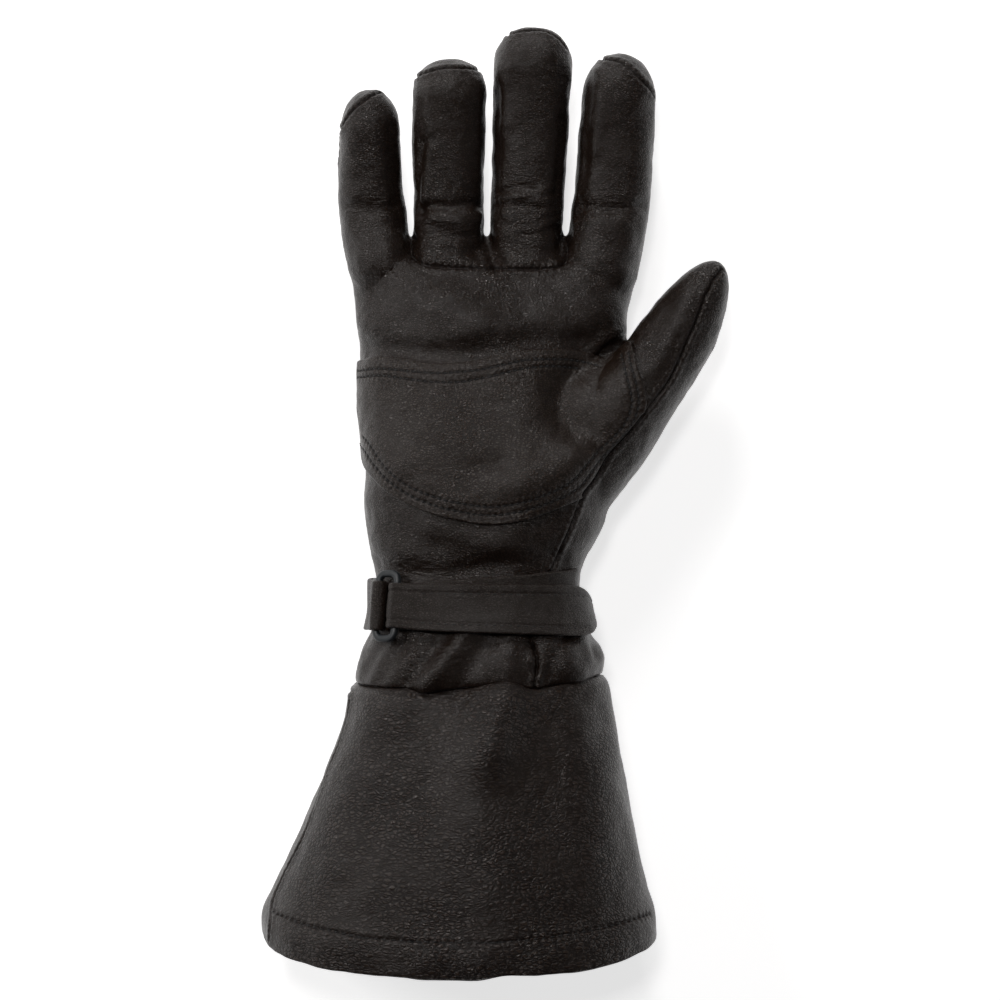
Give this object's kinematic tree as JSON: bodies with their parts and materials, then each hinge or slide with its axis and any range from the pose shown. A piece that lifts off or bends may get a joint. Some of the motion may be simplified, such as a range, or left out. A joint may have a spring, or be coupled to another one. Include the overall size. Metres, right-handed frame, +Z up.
{
  "type": "gauntlet glove",
  "caption": "Leather gauntlet glove for the right hand, lying palm up, with a patched palm, a wrist strap folded through a loop and a flared cuff.",
  "frame": {"origin": "under the middle of the glove's bounding box, on the surface that it lies on", "axes": "+Y towards the fingertips, +X towards the thumb, +Z up, out of the palm"},
  "size_m": [0.1708, 0.3428, 0.0747],
  "materials": {
    "hand_leather": "soft pebbled grain, satin",
    "patch_leather": "fine grain, satin",
    "strap_leather": "fine grain, satin",
    "cuff_leather": "coarse pebbled grain, satin",
    "loop_plastic": "satin"
  },
  "bodies": {
    "root": {"palm_panel": "hand_leather", "middle_fingers_front": "hand_leather", "thumb_front": "hand_leather", "back_panel": "hand_leather", "palm_patch": "patch_leather", "wrist_strap": "strap_leather", "loop_tab": "strap_leather", "strap_loop": "loop_plastic", "cuff_front": "cuff_leather", "cuff_back": "cuff_leather"}
  },
  "joints": []
}
